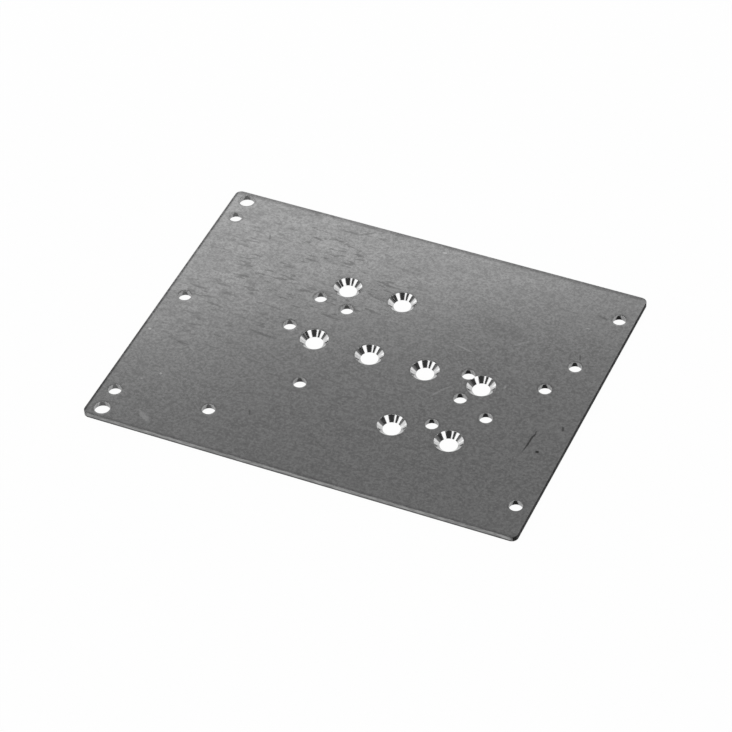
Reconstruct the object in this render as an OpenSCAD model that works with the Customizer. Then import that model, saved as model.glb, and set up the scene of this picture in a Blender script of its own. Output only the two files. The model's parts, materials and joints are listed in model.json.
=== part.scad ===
// Flat connector plate of sheet steel, punched with plain holes and
// countersunk from above. It is one piece, with nothing bent up or added.
// The origin is in the middle of the underside, with +X along the length.

/* [Sheet] */
// Length of the plate along X
plate_l = 170; // [165:1:220]
// Width of the plate along Y
plate_w = 134; // [130:1:180]
// Thickness of the sheet
sheet_t = 2; // [1.6:0.1:2.2]
// Radius of the four corners, seen from above
corner_r = 2.5; // [1.5:0.1:4]
// Radius of the rolled-over rim that shearing leaves round the top
edge_roll_r = 0.3; // [0.1:0.05:0.5]

/* [Countersunk holes] */
// Distance between columns of countersunk holes
csk_pitch_x = 22.3; // [20:0.1:24]
// Distance between rows of countersunk holes
csk_pitch_y = 31; // [28:0.5:34]
// Distance from the plate's middle to the middle of the pattern, towards +X
csk_mid_x = 11.25; // [9:0.25:13]
// Diameter of a countersink at the top face
csk_top_d = 10.6; // [9.8:0.1:10.7]
// Diameter of the hole under a countersink
csk_hole_d = 6.7; // [6.6:0.1:7.5]
// Angle of the countersink, from wall to wall
csk_angle = 90; // [88:1:100]

/* [Plain holes] */
// Diameter of the plain holes
hole_d = 5; // [4:0.1:5.5]
// Diameter of the two holes in the corners at the -X end
corner_hole_d = 6; // [5:0.1:7]
// Depth of the broken edge round the top of a plain hole
hole_break = 0.2; // [0.1:0.05:0.4]

/* [Holes near the ends] */
// Distance from the short edges to the line of holes beside them
end_inset = 6; // [5:0.25:8]
// Distance from the long edges to the four outer holes
side_inset = 15; // [13:0.5:18]
// Distance from the long edges to the two corner holes
corner_inset = 4.7; // [4.5:0.1:6]
// Distance from the -X edge to the hole at the end of the middle row
row_inset = 7.5; // [5:0.25:10]

/* [Holes inside] */
// Height of the middle row of plain holes above the plate's middle
row_y = 3.8; // [2:0.1:5]
// Distance from the plate's middle to the second hole of that row
row_x = 34; // [30:0.5:40]
// Step from the last countersink of the middle row back to the hole that cuts its rim
rim_step = 6.6; // [6:0.1:9]
// Distance from the plate's middle to the pair of holes in one column
pair_x = 17.6; // [16:0.1:19]
// Distance between the two holes of that pair
pair_pitch = 42.8; // [38:0.1:48]
// Distance from the plate's middle line to the middle of the pair
pair_mid_y = 1.9; // [0:0.1:4]

/* [Hidden] */
// Facets round each circle
$fn = 96;
// How far a cutter reaches past the faces that it cuts
cut = 1;
// The holes that stand by themselves, each from the plate's middle
lone_holes = [
    [-42.6, -48.5],
    [-29.5, 22],
    [35.7, -25.2],
    [40.1, -9],
    [52.6, -15],
    [66.9, 7.1],
    [72.9, 22.1],
];
csk_slope = tan(csk_angle / 2);
csk_depth = (csk_top_d - csk_hole_d) / 2 / csk_slope;
// The countersunk holes are two rectangles of four that meet corner to corner
csk_blocks = [[-1, 1], [1, -1]];
end_x = plate_l / 2 - end_inset;
last_csk_x = csk_mid_x + 1.5 * csk_pitch_x;

// Section of the sheet from its middle out to a sheared edge, with the top rolled over
module edge_section(reach) {
    roll_x = reach - edge_roll_r;
    roll_z = sheet_t - edge_roll_r;
    square([roll_x, sheet_t]);
    square([reach, roll_z]);
    translate([roll_x, roll_z]) circle(edge_roll_r);
}

// Straight stretch of sheet along X, with a sheared edge on each side
module stretch(length, reach) {
    rotate([90, 0, 90])
        linear_extrude(length, center = true) {
            edge_section(reach);
            mirror([1, 0]) edge_section(reach);
        }
}

module sheet() {
    corner_x = plate_l / 2 - corner_r;
    corner_y = plate_w / 2 - corner_r;
    stretch(2 * corner_x, plate_w / 2);
    rotate([0, 0, 90]) stretch(2 * corner_y, plate_l / 2);
    for (x = [-corner_x, corner_x])
        for (y = [-corner_y, corner_y])
            translate([x, y, 0]) rotate_extrude() edge_section(corner_r);
}

module countersunk_hole() {
    translate([0, 0, -cut]) cylinder(h = sheet_t + 2 * cut, d = csk_hole_d);
    translate([0, 0, sheet_t - csk_depth])
        cylinder(h = csk_depth + cut, d1 = csk_hole_d, d2 = csk_top_d + 2 * cut * csk_slope);
}

module plain_hole(d) {
    translate([0, 0, -cut]) cylinder(h = sheet_t + 2 * cut, d = d);
    translate([0, 0, sheet_t - hole_break])
        cylinder(h = hole_break + cut, d1 = d, d2 = d + 2 * (hole_break + cut));
}

// One rectangle of four countersunk holes round its own middle
module csk_block() {
    for (x = [-0.5, 0.5])
        for (y = [-0.5, 0.5])
            translate([x * csk_pitch_x, y * csk_pitch_y, 0]) countersunk_hole();
}

module all_countersunk_holes() {
    for (b = csk_blocks)
        translate([csk_mid_x + b[0] * csk_pitch_x, b[1] * csk_pitch_y / 2, 0]) csk_block();
}

module end_holes() {
    for (y = [-1, 1]) {
        for (x = [-1, 1])
            translate([x * end_x, y * (plate_w / 2 - side_inset), 0]) plain_hole(hole_d);
        translate([-end_x, y * (plate_w / 2 - corner_inset), 0]) plain_hole(corner_hole_d);
    }
}

module inner_holes() {
    for (x = [row_inset - plate_l / 2, -row_x, last_csk_x - rim_step])
        translate([x, row_y, 0]) plain_hole(hole_d);
    for (y = [-0.5, 0.5])
        translate([-pair_x, y * pair_pitch - pair_mid_y, 0]) plain_hole(hole_d);
    for (p = lone_holes)
        translate([p[0], p[1], 0]) plain_hole(hole_d);
}

module plate() {
    color("#86888a")
        difference() {
            sheet();
            all_countersunk_holes();
            end_holes();
            inner_holes();
        }
}

plate();
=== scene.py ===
"""A flat connector plate of mill-finish sheet steel, with countersunk and plain holes."""

import json
import math

import bmesh
import bpy
from mathutils import Matrix, Vector


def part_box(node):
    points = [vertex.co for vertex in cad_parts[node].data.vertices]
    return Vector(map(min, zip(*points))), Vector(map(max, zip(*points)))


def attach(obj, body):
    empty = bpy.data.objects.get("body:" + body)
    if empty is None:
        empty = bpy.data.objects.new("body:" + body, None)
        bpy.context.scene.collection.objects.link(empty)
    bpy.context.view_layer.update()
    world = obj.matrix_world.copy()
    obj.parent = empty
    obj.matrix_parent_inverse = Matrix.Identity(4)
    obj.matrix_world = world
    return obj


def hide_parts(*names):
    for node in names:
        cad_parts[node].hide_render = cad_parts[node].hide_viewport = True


MM = 0.001

# The sheet's corners seen from above, and the roll that shearing leaves round its upper rim
CORNER_RADIUS = 2.5 * MM
EDGE_ROLL = 0.15 * MM

# A countersink's mouth, the angle between its walls in degrees, and the roll at its mouth
COUNTERSINK_TOP_RADIUS = 5.42 * MM
COUNTERSINK_ANGLE = 93
COUNTERSINK_ROLL = 0.2 * MM

# A punched hole's upper roll, and how high and how far the punch tore its foot open
HOLE_ROLL = 0.1 * MM
BREAKOUT_HEIGHT = 1.1 * MM
BREAKOUT_GAIN = 0.05 * MM

# The shallow ring that a tool drags down round its hole
RING_WIDTH = 0.9 * MM
RING_DEPTH = 0.01 * MM

# The side of each hole that faces the back panels, in degrees from +X: its upper rim gets the
# least painted shade there and its lower wall a painted dark patch; and how much painted shade
# each kind of rim gets on its other sides
FAR_SIDE = 115
COUNTERSINK_RIM_SHADE = 0.6
PUNCH_RIM_SHADE = 1.0

# How far a cutter reaches past the face that it cuts, and how close two points are one
CUT_PAST = 1.0 * MM
SAME_POINT = 0.001 * MM

# Facets round a hole, round a corner, over a roll and over a countersink's mouth
HOLE_STEPS = 128
CORNER_STEPS = 16
ROLL_STEPS = 5
MOUTH_STEPS = 8

# Faces that meet at more than this many degrees show an edge
SHARP_ANGLE = 30

# What a face's normal measures along an axis when the face is level, upright, or part of the
# right end, the left end, a roll along either end, or a long edge
LEVEL_Z = 0.99
UPRIGHT_Z = 0.1
RIGHT_END_X = 0.45
LEFT_END_X = 0.99
END_ROLL_X = 0.3
LONG_EDGE_Y = 0.98

# Material slots of the plate, in order
MILL_FACE, ROLLED_RIM, SLIT_EDGE, SHEARED_END, PUNCHED_WALL, TURNED_CONE = range(6)


# ---------------------------------------------------------------- the frame

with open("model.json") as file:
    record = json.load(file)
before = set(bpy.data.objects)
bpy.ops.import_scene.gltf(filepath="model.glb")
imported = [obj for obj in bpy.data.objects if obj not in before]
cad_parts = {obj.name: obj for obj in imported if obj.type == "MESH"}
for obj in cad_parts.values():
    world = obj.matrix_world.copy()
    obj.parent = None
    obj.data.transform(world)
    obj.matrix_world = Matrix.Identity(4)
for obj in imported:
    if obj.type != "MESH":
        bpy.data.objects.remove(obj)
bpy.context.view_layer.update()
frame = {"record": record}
plate_low, plate_high = (Vector(corner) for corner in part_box("plate"))
plate_middle = (plate_low + plate_high) / 2


def hole_places(mount):
    """Centres of a mount's holes: a bore's own, or a pattern's along X and Y."""
    x, y, _ = mount["pos_m"]
    half_x = mount["dims"].get("spacing_x_mm", 0.0) * MM / 2
    half_y = mount["dims"].get("spacing_y_mm", 0.0) * MM / 2
    return sorted({(x + i * half_x, y + j * half_y) for i in (-1, 1) for j in (-1, 1)})


countersunk_holes = []
plain_holes = []
for mount in frame["record"]["mounts"]:
    sizes = mount["dims"]
    if sizes:
        radius = sizes.get("hole_r_mm", sizes.get("r_mm")) * MM
        is_countersunk = mount["name"].startswith("countersunk")
        holes = countersunk_holes if is_countersunk else plain_holes
        holes += [(place, radius) for place in hole_places(mount)]


def direction(azimuth, elevation):
    """A unit vector: azimuth in degrees from +X towards +Y, elevation above the floor."""
    turn, rise = math.radians(azimuth), math.radians(elevation)
    return Vector((math.cos(rise) * math.cos(turn), math.cos(rise) * math.sin(turn), math.sin(rise)))


# ---------------------------------------------------------------- the shapes

def make_object(name, bm):
    """An object of this bmesh, at the origin."""
    mesh = bpy.data.meshes.new(name)
    bm.to_mesh(mesh)
    bm.free()
    made = bpy.data.objects.new(name, mesh)
    bpy.context.scene.collection.objects.link(made)
    return made


def round_off(bm, edges, radius, steps):
    """Rounds edges off with an arc of this radius."""
    bmesh.ops.bevel(
        bm, geom=edges, offset=radius, offset_type="OFFSET", affect="EDGES",
        segments=steps, profile=0.5, material=-1, clamp_overlap=True)


def blank_finish(normal):
    """The material slot of a face of the blank that looks this way."""
    along, across, up = (abs(part) for part in normal)
    if up >= LEVEL_Z:
        return MILL_FACE
    if up >= UPRIGHT_Z:
        return SHEARED_END if along > END_ROLL_X else ROLLED_RIM
    if normal.x > RIGHT_END_X or normal.x < -LEFT_END_X:
        return SHEARED_END
    return ROLLED_RIM if across < LONG_EDGE_Y else SLIT_EDGE


def sheared_blank():
    """The sheet before its holes: rounded corners, and the top edge that the shear rolls over."""
    size = plate_high - plate_low
    bm = bmesh.new()
    bmesh.ops.create_cube(bm, size=1.0)
    bmesh.ops.scale(bm, vec=size, verts=bm.verts)
    bmesh.ops.translate(bm, vec=plate_middle, verts=bm.verts)
    upright = [e for e in bm.edges if abs(e.verts[0].co.z - e.verts[1].co.z) > size.z / 2]
    round_off(bm, upright, CORNER_RADIUS, CORNER_STEPS)
    bm.faces.ensure_lookup_table()
    top = max(bm.faces, key=lambda face: face.calc_center_median().z)
    round_off(bm, list(top.edges), EDGE_ROLL, ROLL_STEPS)
    bm.normal_update()
    for face in bm.faces:
        face.material_index = blank_finish(face.normal)
    return bm


def turned_cutter(place, profile):
    """A closed cutter: a profile of (radius, height, slot of the wall above) spun upright."""
    x, y = place
    bm = bmesh.new()
    points = [bm.verts.new((x + radius, y, height)) for radius, height, _ in profile]
    walls = [bm.edges.new(pair) for pair in zip(points, points[1:])]
    bmesh.ops.spin(
        bm, geom=points + walls, cent=(x, y, 0), axis=(0, 0, 1),
        angle=math.tau, steps=HOLE_STEPS, use_merge=True)
    bmesh.ops.remove_doubles(bm, verts=bm.verts, dist=SAME_POINT)
    bmesh.ops.recalc_face_normals(bm, faces=bm.faces)
    heights = [height for _, height, _ in profile]
    for face in bm.faces:
        middle = face.calc_center_median().z
        for low, high, (_, _, slot) in zip(heights, heights[1:], profile):
            if low < middle < high:
                face.material_index = slot
    return bm


def dragged_ring(radius):
    """The end of a profile: the shallow ring round a hole, from its rim out into the face."""
    high = plate_high.z
    out = radius + RING_WIDTH + CUT_PAST
    rise = RING_DEPTH * CUT_PAST / RING_WIDTH
    return [
        (radius, high - RING_DEPTH, MILL_FACE),
        (out, high + rise, MILL_FACE),
        (out, high + CUT_PAST, MILL_FACE),
        (0.0, high + CUT_PAST, MILL_FACE)]


def countersink_profile(radius):
    """A drilled hole's land, the cone of the countersink and its rolled mouth."""
    low, high = plate_low.z, plate_high.z - RING_DEPTH
    slope = math.radians(90 - COUNTERSINK_ANGLE / 2)
    mouth_radius = COUNTERSINK_TOP_RADIUS + COUNTERSINK_ROLL * math.tan(slope / 2)
    cone_depth = (COUNTERSINK_TOP_RADIUS - radius) * math.tan(slope)
    mouth = []
    for step in range(MOUTH_STEPS):
        angle = slope * (1 - step / MOUTH_STEPS)
        inwards = COUNTERSINK_ROLL * math.sin(angle)
        depth = COUNTERSINK_ROLL * (1 - math.cos(angle))
        slot = TURNED_CONE if step < MOUTH_STEPS / 2 else ROLLED_RIM
        mouth.append((mouth_radius - inwards, high - depth, slot))
    return [
        (0.0, low - CUT_PAST, PUNCHED_WALL),
        (radius, low - CUT_PAST, PUNCHED_WALL),
        (radius, high - cone_depth, TURNED_CONE),
        *mouth,
        *dragged_ring(mouth_radius)]


def punch_profile(radius):
    """A punched hole: its torn, widening lower wall, the smooth wall above and a rolled rim."""
    low, high = plate_low.z, plate_high.z - RING_DEPTH
    roll = []
    for step in range(ROLL_STEPS):
        angle = math.radians(180 - 90 * step / ROLL_STEPS)
        roll.append((
            radius + HOLE_ROLL * (1 + math.cos(angle)),
            high - HOLE_ROLL * (1 - math.sin(angle)), MILL_FACE))
    foot = radius + BREAKOUT_GAIN
    return [
        (0.0, low - CUT_PAST, PUNCHED_WALL),
        (foot, low - CUT_PAST, PUNCHED_WALL),
        (foot, low, PUNCHED_WALL),
        (radius, low + BREAKOUT_HEIGHT, PUNCHED_WALL),
        *roll,
        *dragged_ring(radius + HOLE_ROLL)]


def apply_modifiers(piece):
    """Makes what the modifiers show the piece's own mesh."""
    bpy.context.view_layer.update()
    seen = piece.evaluated_get(bpy.context.evaluated_depsgraph_get())
    piece.data = bpy.data.meshes.new_from_object(seen)
    piece.modifiers.clear()


def cut_holes(piece, holes, profile_of):
    """Cuts one kind of hole out of the sheet."""
    cutters = bmesh.new()
    for place, radius in holes:
        one = bpy.data.meshes.new("one_cutter")
        bm = turned_cutter(place, profile_of(radius))
        bm.to_mesh(one)
        bm.free()
        cutters.from_mesh(one)
        bpy.data.meshes.remove(one)
    cutter = make_object("hole_cutter", cutters)
    cut = piece.modifiers.new("holes", "BOOLEAN")
    cut.operation, cut.solver, cut.object = "DIFFERENCE", "EXACT", cutter
    apply_modifiers(piece)
    bpy.data.objects.remove(cutter)


# What each point of the mesh keeps for the finishes: how much painted shade its hole's rim gets,
# and how far the point is turned to the far side of its hole
RIM_SHADE_ATTRIBUTE, TURN_ATTRIBUTE = "hole_rim_shade", "hole_turn"


def place_in_hole(point):
    """The painted shade of the upper rim that a point belongs to, and how far the point is turned
    to the far side, from -1 to 1."""
    mouth_gain = COUNTERSINK_TOP_RADIUS + COUNTERSINK_ROLL / 2 - countersunk_holes[0][1]
    # Each kind of rim gets its own strength of painted shade
    kinds = (
        (countersunk_holes, mouth_gain, COUNTERSINK_RIM_SHADE),
        (plain_holes, HOLE_ROLL, PUNCH_RIM_SHADE))
    for holes, gain, painted_shade in kinds:
        for (x, y), radius in holes:
            away = Vector((point.x - x, point.y - y, 0))
            if away.length < radius + gain + RING_WIDTH / 2:
                is_upper = point.z > plate_middle.z
                return painted_shade * is_upper, away.normalized().dot(direction(FAR_SIDE, 0))
    return 0.0, 0.0


def shade_sheet(piece):
    """Shades rolls smooth and edges sharp, and stores the attributes that the finishes read."""
    bm = bmesh.new()
    bm.from_mesh(piece.data)
    bm.normal_update()
    sharp = math.radians(SHARP_ANGLE)
    for face in bm.faces:
        face.smooth = True
    for edge in bm.edges:
        edge.smooth = len(edge.link_faces) == 2 and edge.calc_face_angle() < sharp
    rim_share = bm.verts.layers.float.new(RIM_SHADE_ATTRIBUTE)
    turn_share = bm.verts.layers.float.new(TURN_ATTRIBUTE)
    for vert in bm.verts:
        vert[rim_share], vert[turn_share] = place_in_hole(vert.co)
    bm.to_mesh(piece.data)
    bm.free()

    # The wide flat faces keep their own normal, and each roll blends into them
    keep_flat = piece.modifiers.new("keep_flat", "WEIGHTED_NORMAL")
    keep_flat.mode = "FACE_AREA"
    keep_flat.weight = 100
    keep_flat.keep_sharp = True


sheet = make_object("connector_sheet", sheared_blank())
cut_holes(sheet, countersunk_holes, countersink_profile)
cut_holes(sheet, plain_holes, punch_profile)
shade_sheet(sheet)


# ---------------------------------------------------------------- the finishes

SMOOTH = {"interpolation_type": "SMOOTHSTEP"}
COLOUR = {"data_type": "RGBA"}


def from_hex(code):
    """An sRGB hex colour as linear RGBA."""
    parts = [int(code[i:i + 2], 16) / 255 for i in (1, 3, 5)]
    linear = [p / 12.92 if p <= 0.04045 else ((p + 0.055) / 1.055) ** 2.4 for p in parts]
    return (*linear, 1.0)


def feed(tree, socket, value):
    """Gives a socket its value: a number, a vector, a hex colour, another socket or a node,
    which stands for its first live output. None leaves the socket as it is."""
    if isinstance(value, bpy.types.Node):
        value = next(output for output in value.outputs if output.enabled)
    if isinstance(value, bpy.types.NodeSocket):
        tree.links.new(value, socket)
    elif isinstance(value, str):
        socket.default_value = from_hex(value)
    elif value is not None:
        socket.default_value = value


def add_node(tree, kind, *values, **settings):
    """Adds a node. settings are its own properties, and values go to its live sockets in order."""
    node = tree.nodes.new("ShaderNode" + kind)
    for name, setting in settings.items():
        setattr(node, name, setting)
    live = [socket for socket in node.inputs if socket.enabled]
    for socket, value in zip(live, values):
        feed(tree, socket, value)
    return node


def new_metal(name):
    """A bare metal's material, with its node tree and its Object coordinates."""
    material = bpy.data.materials.new(name)
    material.use_nodes = True
    tree = material.node_tree
    tree.nodes["Principled BSDF"].inputs["Metallic"].default_value = 1.0
    return material, tree, add_node(tree, "TexCoord").outputs["Object"]


def coat(tree, tone, roughness, relief=None):
    """Gives the metal's shader its colour, its roughness and the relief of its skin."""
    shader = tree.nodes["Principled BSDF"].inputs
    feed(tree, shader["Base Color"], tone)
    feed(tree, shader["Roughness"], roughness)
    feed(tree, shader["Normal"], relief)


def grains(tree, place, lengths, detail=2.0):
    """An uneven pattern whose grains have these lengths along X, Y and Z, in millimetres."""
    scale = [1 / (length * MM) for length in lengths]
    scaled = add_node(tree, "Mapping", place, None, None, scale)
    return add_node(tree, "TexNoise", scaled, 1.0, detail)


# Marks on the upper face in millimetres: middle x and y, length, width, turn in degrees from
# the long side, and strength; the rubbed patches are where the sheet slid about
DARK_MARKS = (
    (71.7, -20, 14, 0.9, 85, 1.2), (76.1, -24.2, 1.2, 1.2, 0, 2.4),
    (80.4, -9.8, 3.0, 1.0, 115, 1.0), (73, 51, 5, 1.3, -20, 0.5), (72.8, 27.4, 4, 0.9, 115, 0.7),
    (-61.7, 46.3, 4, 0.9, 115, 0.6), (-28, -44.5, 3.5, 0.9, 115, 0.6),
    (-33, 60.3, 9, 1.4, 0, 0.5), (-27, 62.3, 6, 1.4, 35, 0.5), (-57, 19, 7, 1.6, -15, 0.4),
    (-41, -4.7, 16, 1.6, -6, 0.4), (-69.5, -19.5, 12, 1.8, -10, 0.35),
    (40, 31, 28, 12, -15, 0.14))
RUBBED_PATCHES = ((-36, 36, 100, 80, 0, 1.0), (-60, 0, 70, 60, 0, 0.8), (30, 0, 200, 160, 0, 0.15))
LIGHT_MARKS = (
    (-81.6, -17.7, 1.5, 1.3, 0, 0.9), (-67.2, -38, 1.4, 1.4, 0, 0.9),
    (-72.4, -42.8, 1.4, 1.2, 0, 0.6), (69.9, 43.2, 2.0, 1.0, 15, 0.8),
    (4.2, 62.8, 2.0, 1.3, 0, 0.5), (53, 2.7, 1.2, 2.2, 0, 0.6), (-62.8, -60.6, 9, 2.5, -35, 0.5),
    (30.8, 16.3, 10, 0.8, -14, 0.4), (50, 26.7, 9, 0.8, 46, 0.3), (32.3, -7.4, 14, 0.9, 56, 0.35))

# How coarse the ragged outline of a mark is, how far it wanders, how deep a mark reaches, and
# where it starts to fade in and is full, as shares of its half length and half width
RAGGED_GRAIN = 1.5 * MM
RAGGED_REACH = 1.0 * MM
MARK_DEPTH = 1.0 * MM
MARK_FADE = (1.1, 0.5)


def marks(tree, place, listed):
    """How much of the listed marks covers each point."""
    ragged = add_node(tree, "TexNoise", place, 1 / RAGGED_GRAIN).outputs["Color"]
    moved = add_node(
        tree, "VectorMath", ragged, (RAGGED_REACH,) * 3, place, operation="MULTIPLY_ADD")
    wavy = add_node(tree, "VectorMath", moved, (RAGGED_REACH / 2,) * 3, operation="SUBTRACT")
    cover = 0.0
    for x, y, length, width, turn, strength in listed:
        inside = add_node(
            tree, "Mapping", wavy, (x * MM, y * MM, plate_high.z), (0, 0, math.radians(turn)),
            (length / 2 * MM, width / 2 * MM, MARK_DEPTH), vector_type="TEXTURE")
        out = add_node(tree, "VectorMath", inside, operation="LENGTH")
        one = add_node(tree, "MapRange", out, *MARK_FADE, 0.0, strength, **SMOOTH)
        cover = add_node(tree, "Math", one, cover, operation="MAXIMUM")
    return cover


def edge_painted_shade(tree, place):
    """Painted shade along the near, left and far edges; noise breaks it up along the last two."""
    axes = add_node(tree, "SeparateXYZ", place).outputs
    from_near = add_node(tree, "Math", axes["Y"], plate_low.y, operation="SUBTRACT")
    from_left = add_node(tree, "Math", axes["X"], plate_low.x, operation="SUBTRACT")
    from_far = add_node(tree, "Math", plate_high.y, axes["Y"], operation="SUBTRACT")
    # Painted shade: darker bands along the near, left and far edges
    near = add_node(tree, "MapRange", from_near, 1.5 * MM, 0.3 * MM, 0.0, 0.35, **SMOOTH)
    left = add_node(tree, "MapRange", from_left, 1.3 * MM, 0.6 * MM, 0.0, 1.0, **SMOOTH)
    far = add_node(tree, "MapRange", from_far, 2.6 * MM, 0.5 * MM, 0.0, 0.6, **SMOOTH)
    specks = grains(tree, place, (1.0, 1.0, 1.0), detail=1.0)
    broken = add_node(tree, "MapRange", specks, 0.35, 0.6, 0.6, 1.0, **SMOOTH)
    either = add_node(tree, "Math", left, far, operation="MAXIMUM")
    left_and_far_shade = add_node(tree, "Math", either, broken, operation="MULTIPLY")
    return add_node(tree, "Math", near, left_and_far_shade, operation="MAXIMUM")


# How dark the painted shade round the holes gets at most
RIM_SHADE_MOST = 0.4


def rim_painted_shade(tree):
    """Painted shade round the upper rims of the holes, least on their far side."""
    rim = add_node(tree, "Attribute", attribute_name=RIM_SHADE_ATTRIBUTE).outputs["Fac"]
    turned = add_node(tree, "Attribute", attribute_name=TURN_ATTRIBUTE).outputs["Fac"]
    # The painted shade is lightest on the far side of each hole
    shade_by_side = add_node(tree, "MapRange", turned, 0.7, -0.3, 0.1, 1.0, **SMOOTH)
    rim_shade = add_node(tree, "Math", rim, shade_by_side, operation="MULTIPLY")
    return add_node(tree, "Math", rim_shade, RIM_SHADE_MOST, operation="MULTIPLY")


# How much of the skin's pattern is mottle rather than grain, how much a rub streak and a full
# mark darken it, and how deep the grain is
MOTTLE_SHARE = 0.28
STREAK_SHARE = 0.5
MARK_SHARE = 0.7
GRAIN_DEPTH = 0.002 * MM


def mill_face():
    """Cold-rolled mild steel as it left the mill, bare and then slid about in stacks."""
    # Rolled steel mirrors the room softly, in a mottled grey that streaks where it was rubbed
    material, tree, place = new_metal("mill_finish_steel")

    # The mottle of the rolled skin; its real grain is finer, and is drawn coarser to show
    grain = grains(tree, place, (0.85, 0.8, 0.8), detail=1.0)
    mottle = grains(tree, place, (2.0, 1.6, 1.6), detail=1.0)
    cloud = grains(tree, place, (9, 5, 5))
    skin = add_node(tree, "Mix", MOTTLE_SHARE, grain, mottle)
    pale = add_node(tree, "MapRange", skin, 0.32, 0.68, **SMOOTH)
    tone = add_node(tree, "Mix", pale, "#9b9b9b", "#b8b8b8", **COLOUR)
    clouded = add_node(tree, "MapRange", cloud, 0.3, 0.75, 0.0, 0.25, **SMOOTH)
    tone = add_node(tree, "Mix", clouded, tone, "#949494", **COLOUR)

    # Short dark rub streaks along the rolling direction, thickest towards the far left corner
    strokes = add_node(
        tree, "MapRange", grains(tree, place, (6.0, 1.4, 1.5)), 0.58, 0.66, **SMOOTH)
    patches = add_node(
        tree, "MapRange", grains(tree, place, (30, 22, 10)), 0.3, 0.55, 0.4, 1.0, **SMOOTH)
    rubbed = add_node(
        tree, "Math", patches, marks(tree, place, RUBBED_PATCHES), operation="MULTIPLY")
    streak = add_node(tree, "Math", strokes, rubbed, operation="MULTIPLY")
    faint = add_node(tree, "Math", streak, STREAK_SHARE, operation="MULTIPLY")
    tone = add_node(tree, "Mix", faint, tone, "#6c6c6c", **COLOUR)

    # Single scratches and smudges, bright nicks, and painted shade along the rims and edges
    scratched = add_node(
        tree, "Math", marks(tree, place, DARK_MARKS), MARK_SHARE, operation="MULTIPLY")
    tone = add_node(tree, "Mix", scratched, tone, "#4c4c4c", **COLOUR)
    tone = add_node(tree, "Mix", marks(tree, place, LIGHT_MARKS), tone, "#d8d8d8", **COLOUR)
    # The rims and edges are darkened with painted shade
    painted_shade = add_node(tree, "Math", rim_painted_shade(tree), edge_painted_shade(tree, place), operation="MAXIMUM")
    tone = add_node(tree, "Mix", painted_shade, tone, "#606060", **COLOUR)

    even = add_node(tree, "MapRange", cloud, 0.3, 0.7, 0.2, 0.25, **SMOOTH)
    rough = add_node(tree, "Math", streak, 0.05, operation="MULTIPLY")
    roughness = add_node(tree, "Math", even, rough, operation="ADD")
    relief = add_node(tree, "Bump", 1.0, GRAIN_DEPTH, None, grain)
    coat(tree, tone, roughness, relief)
    return material


def rolled_rim():
    """The skin of the steel where an edge rolls over."""
    # Bending and handling burnish it, with worn bright spots; it is darker than the face in painted
    # shade, for the darker surroundings that the rolls reflect
    material, tree, place = new_metal("rolled_steel_rim_painted_shade")
    wear = grains(tree, place, (2.5, 2.5, 0.8))
    worn = add_node(tree, "MapRange", wear, 0.35, 0.7, **SMOOTH)
    # Painted shade: the rolls are drawn darker than the face
    tone = add_node(tree, "Mix", worn, "#646464", "#868686", **COLOUR)
    coat(tree, tone, add_node(tree, "MapRange", wear, 0.3, 0.7, 0.35, 0.25, **SMOOTH))
    return material


def slit_edge():
    """The long edges, cut from the coil by a slitter."""
    # The upper part is cut smooth and grey, and the foot is darkened with painted shade, for the
    # contact shadow that the edge reflects
    material, tree, place = new_metal("slit_steel_edge")
    height = add_node(tree, "SeparateXYZ", place).outputs["Z"]
    dash = grains(tree, place, (3.0, 3.0, 0.5))
    dashed = add_node(tree, "MapRange", dash, 0.35, 0.65, **SMOOTH)
    cut = add_node(tree, "Mix", dashed, "#888888", "#a8a8a8", **COLOUR)
    # Painted shade: the foot of the edge is drawn darker
    foot = add_node(tree, "MapRange", height, 0.75 * MM, 0.45 * MM, **SMOOTH)
    tone = add_node(tree, "Mix", foot, cut, "#585858", **COLOUR)
    coat(tree, tone, add_node(tree, "MapRange", dash, 0.3, 0.7, 0.3, 0.4, **SMOOTH))
    return material


def sheared_end():
    """The short ends, cropped by a shear."""
    # The steel broke rather than was cut, which leaves it dull with upright tear lines; they are
    # finer than 0.6 mm, and are drawn coarser so that they show. Its darkness is painted shade,
    # for the dark surroundings that the ends reflect
    material, tree, place = new_metal("sheared_steel_end_painted_shade")
    tear = grains(tree, place, (0.6, 0.6, 4.0))
    tear_and_shade = add_node(tree, "MapRange", tear, 0.3, 0.7, **SMOOTH)
    # Painted shade: the ends are drawn in very dark colours
    tone = add_node(tree, "Mix", tear_and_shade, "#1a1a1a", "#3c3c3c", **COLOUR)
    coat(tree, tone, add_node(tree, "MapRange", tear, 0.3, 0.7, 0.75, 0.6, **SMOOTH))
    return material


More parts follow.
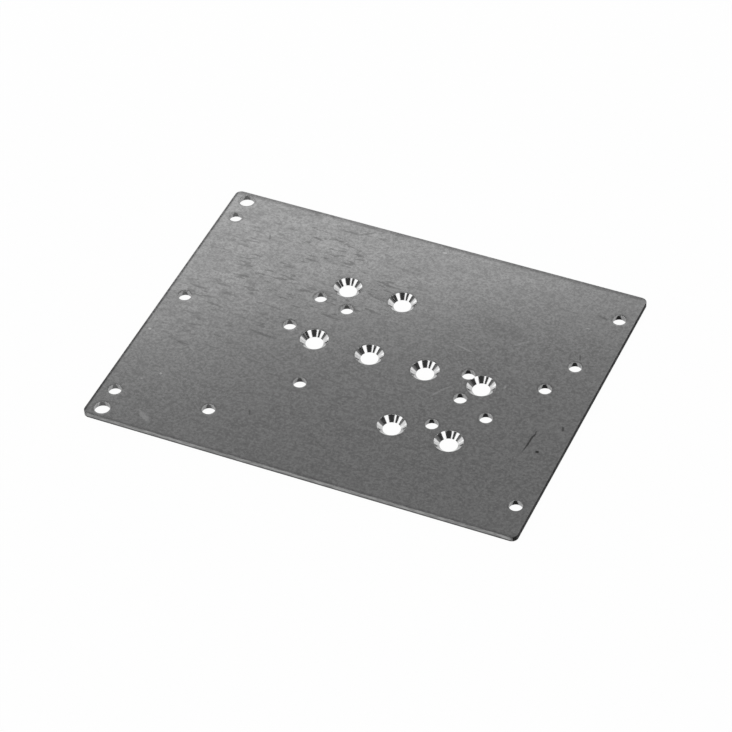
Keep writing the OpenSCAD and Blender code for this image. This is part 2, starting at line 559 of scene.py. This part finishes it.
def punched_wall():
    """The wall of a hole, as the punch left it."""
    # The punch burnishes it to a soft grey shine in upright lines, drawn coarser so that they
    # show; low on the far side of each hole a dark patch of painted shade stands for the shadow that
    # the wall reflects
    material, tree, place = new_metal("punched_steel_wall")
    axes = add_node(tree, "SeparateXYZ", place).outputs

    # The painted dark patch is widest at the foot, and darkest towards the right end of the sheet
    narrow = add_node(
        tree, "MapRange", axes["Z"], plate_low.z, plate_high.z, 0.9, 0.97, **SMOOTH)
    turned = add_node(tree, "Attribute", attribute_name=TURN_ATTRIBUTE).outputs["Fac"]
    past = add_node(tree, "Math", turned, narrow, operation="SUBTRACT")
    shade_patch = add_node(tree, "MapRange", past, -0.03, 0.02, **SMOOTH)
    deep = add_node(tree, "MapRange", axes["X"], -70 * MM, 20 * MM, 0.65, 1.0, **SMOOTH)
    tear_and_shade = add_node(tree, "Math", shade_patch, deep, operation="MULTIPLY")

    tear = grains(tree, place, (0.5, 0.5, 3.0))
    shine = add_node(tree, "MapRange", tear, 0.3, 0.7, **SMOOTH)
    wall = add_node(tree, "Mix", shine, "#989898", "#b2b2b2", **COLOUR)
    # Painted shade: the dark patch on the far side of the wall
    tone = add_node(tree, "Mix", tear_and_shade, wall, "#262626", **COLOUR)
    coat(tree, tone, add_node(tree, "MapRange", tear, 0.3, 0.7, 0.2, 0.3, **SMOOTH))
    return material


# Distance between the rings of a cone, measured upright
CONE_RING = 0.25 * MM


def turned_cone():
    """The cone that the countersink cut."""
    # Its flutes turn the steel bright and leave fine rings, which lie closer together than they
    # are drawn here, so that they show
    material, tree, place = new_metal("turned_steel_cone")
    height = add_node(tree, "SeparateXYZ", place).outputs["Z"]
    phase = add_node(tree, "Math", height, math.tau / CONE_RING, operation="MULTIPLY")
    ring = add_node(tree, "Math", phase, operation="SINE")
    crest = add_node(tree, "MapRange", ring, -1, 1, **SMOOTH)
    tone = add_node(tree, "Mix", crest, "#b0b0b0", "#bababa", **COLOUR)
    coat(tree, tone, add_node(tree, "MapRange", ring, -1, 1, 0.12, 0.1, **SMOOTH))
    return material


for finish in (mill_face, rolled_rim, slit_edge, sheared_end, punched_wall, turned_cone):
    sheet.data.materials.append(finish())

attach(sheet, "root")
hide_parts("plate")


# ---------------------------------------------------------------- floor, light and camera

FLOOR_SIZE = 8.0
FLOOR_GAP = 0.05 * MM

# How white the floor shows, and how white the metal mirrors it and the sweep behind it
FLOOR_SHOWS = 0.97
SWEEP_IN_METAL = 0.5

# Upright panels behind the plate: name, left end, right end and top in metres, and radiance,
# where a radiance of 1 shows white in a mirror
PANEL_AZIMUTH = 115
PANEL_DISTANCE = 0.327
BACK_PANELS = (
    ("back_panel", 0.434, -0.397, 0.275, 0.64),
    ("back_panel_left", 0.4, 0.07, 0.31, 0.24))

# Softboxes that face the plate: name, azimuth and elevation, width and height in metres, and
# radiance
SOFTBOX_DISTANCE = 1.6
SOFTBOXES = (
    ("right", -23.5, 50, 0.62, 1.9, 2.1),
    ("front_left", -100.5, 50, 0.27, 1.9, 2.1),
    ("left", -141, 48, 0.5, 1.9, 2.1),
    ("high_left", 200, 47, 0.5, 0.56, 2.6),
    ("high_right", 30, 47, 0.6, 0.6, 2.5),
    ("low_left_card", 174, 13, 0.9, 0.5, 1.1),
    ("low_right_card", 54, 13, 0.5, 0.5, 1.2))

# The studio's grey and its unlit part, which lies in front of the plate between two heights, and
# the white sweep round its foot; each pair is where one starts and ends to fade, as parts of the
# unit vector that looks there
WORLD_GREY = 0.303
WORLD_DARK = 0.06
DARK_IN_FRONT = (-0.35, -0.15)
DARK_ABOVE = (0.4, 0.55)
DARK_BELOW = (0.92, 0.8)
SWEEP_BELOW = (0.14, 0.1)

CAMERA_AZIMUTH = 25.012
CAMERA_ELEVATION = 43.308
CAMERA_ROLL = -2.067
CAMERA_DISTANCE = 1236.6 * MM
CAMERA_LENS = 165.06
CAMERA_SENSOR = 36.0
CAMERA_AIM = Vector((0.955, -5.12, 1.0)) * MM


def pale_floor():
    """A pale floor that shows white and takes the plate's shadow; it can't be seen from below."""
    bm = bmesh.new()
    bmesh.ops.create_grid(bm, x_segments=1, y_segments=1, size=FLOOR_SIZE / 2)
    floor = make_object("floor", bm)
    material = bpy.data.materials.new("pale_floor")
    material.use_nodes = True
    tree = material.node_tree
    tree.nodes.clear()
    path = add_node(tree, "LightPath").outputs
    seen = add_node(
        tree, "Math", path["Is Camera Ray"], path["Is Transmission Ray"], operation="MAXIMUM")
    shown = add_node(tree, "Math", seen, FLOOR_SHOWS, operation="MULTIPLY")
    mirrored = add_node(
        tree, "Math", path["Is Glossy Ray"], SWEEP_IN_METAL, operation="MULTIPLY")
    share = add_node(tree, "Math", shown, mirrored, operation="MAXIMUM")
    card = add_node(tree, "BsdfDiffuse", "#e8e8e8")
    glow = add_node(tree, "Emission", "#ffffff", 1.0)
    both = add_node(tree, "MixShader", share, card, glow)
    below = add_node(tree, "NewGeometry").outputs["Backfacing"]
    clear = add_node(tree, "BsdfTransparent")
    add_node(tree, "OutputMaterial", add_node(tree, "MixShader", below, both, clear))
    floor.data.materials.append(material)
    floor.location.z = plate_low.z - FLOOR_GAP


def soft_light(name, middle, away, width, height, radiance):
    """A soft light that faces back along away."""
    lamp = bpy.data.lights.new(name, "AREA")
    lamp.shape = "RECTANGLE"
    lamp.size, lamp.size_y = width, height
    lamp.energy = radiance * math.pi * width * height
    holder = bpy.data.objects.new(name, lamp)
    holder.location = middle
    holder.rotation_euler = away.to_track_quat("Z", "Y").to_euler()
    holder.visible_camera = False
    bpy.context.scene.collection.objects.link(holder)


def hang_lights():
    """The panels behind the plate and the softboxes round it."""
    away, leftwards = direction(PANEL_AZIMUTH, 0), direction(PANEL_AZIMUTH + 90, 0)
    for name, left, right, top, radiance in BACK_PANELS:
        middle = away * PANEL_DISTANCE + leftwards * (left + right) / 2 + Vector((0, 0, top / 2))
        soft_light(name, middle, away, left - right, top, radiance)
    for name, azimuth, elevation, width, height, radiance in SOFTBOXES:
        away = direction(azimuth, elevation)
        middle = plate_middle + away * SOFTBOX_DISTANCE
        soft_light(name, middle, away, width, height, radiance)


def studio_world():
    """An even grey studio with an unlit part in front; where it is seen itself it is white."""
    world = bpy.data.worlds.new("studio")
    bpy.context.scene.world = world
    world.use_nodes = True
    tree = world.node_tree
    look = add_node(tree, "TexCoord").outputs["Generated"]
    height = add_node(tree, "SeparateXYZ", look).outputs["Z"]
    front = add_node(
        tree, "VectorMath", look, -direction(PANEL_AZIMUTH, 0), operation="DOT_PRODUCT")
    in_front = add_node(tree, "MapRange", front, *DARK_IN_FRONT, **SMOOTH)
    above = add_node(tree, "MapRange", height, *DARK_ABOVE, **SMOOTH)
    below = add_node(tree, "MapRange", height, *DARK_BELOW, **SMOOTH)
    between = add_node(tree, "Math", above, below, operation="MULTIPLY")
    unlit = add_node(tree, "Math", in_front, between, operation="MULTIPLY")
    grey = add_node(tree, "MapRange", unlit, 0.0, 1.0, WORLD_GREY, WORLD_DARK, **SMOOTH)

    path = add_node(tree, "LightPath").outputs
    seen = add_node(
        tree, "Math", path["Is Camera Ray"], path["Is Transmission Ray"], operation="MAXIMUM")
    sweep = add_node(tree, "MapRange", height, *SWEEP_BELOW, 0.0, SWEEP_IN_METAL, **SMOOTH)
    mirrored = add_node(tree, "Math", path["Is Glossy Ray"], sweep, operation="MULTIPLY")
    white = add_node(tree, "Math", seen, mirrored, operation="MAXIMUM")
    level = add_node(tree, "MapRange", white, 0.0, 1.0, grey, 1.0, **SMOOTH)
    feed(tree, tree.nodes["Background"].inputs["Color"], level)


def set_camera():
    """The camera, aimed at the middle of the plate and rolled a little."""
    camera = bpy.data.objects.new("camera", bpy.data.cameras.new("camera"))
    bpy.context.scene.collection.objects.link(camera)
    camera.data.lens = CAMERA_LENS
    camera.data.sensor_width = CAMERA_SENSOR
    back = direction(CAMERA_AZIMUTH - 90, CAMERA_ELEVATION)
    level = direction(CAMERA_AZIMUTH, 0)
    roll = math.radians(CAMERA_ROLL)
    across = math.cos(roll) * level + math.sin(roll) * back.cross(level)
    axes = Matrix((across, back.cross(across), back)).transposed()
    camera.matrix_world = Matrix.Translation(CAMERA_AIM + back * CAMERA_DISTANCE) @ axes.to_4x4()
    bpy.context.scene.camera = camera


pale_floor()
hang_lights()
studio_world()
set_camera()
bpy.context.scene.view_settings.view_transform = "Standard"
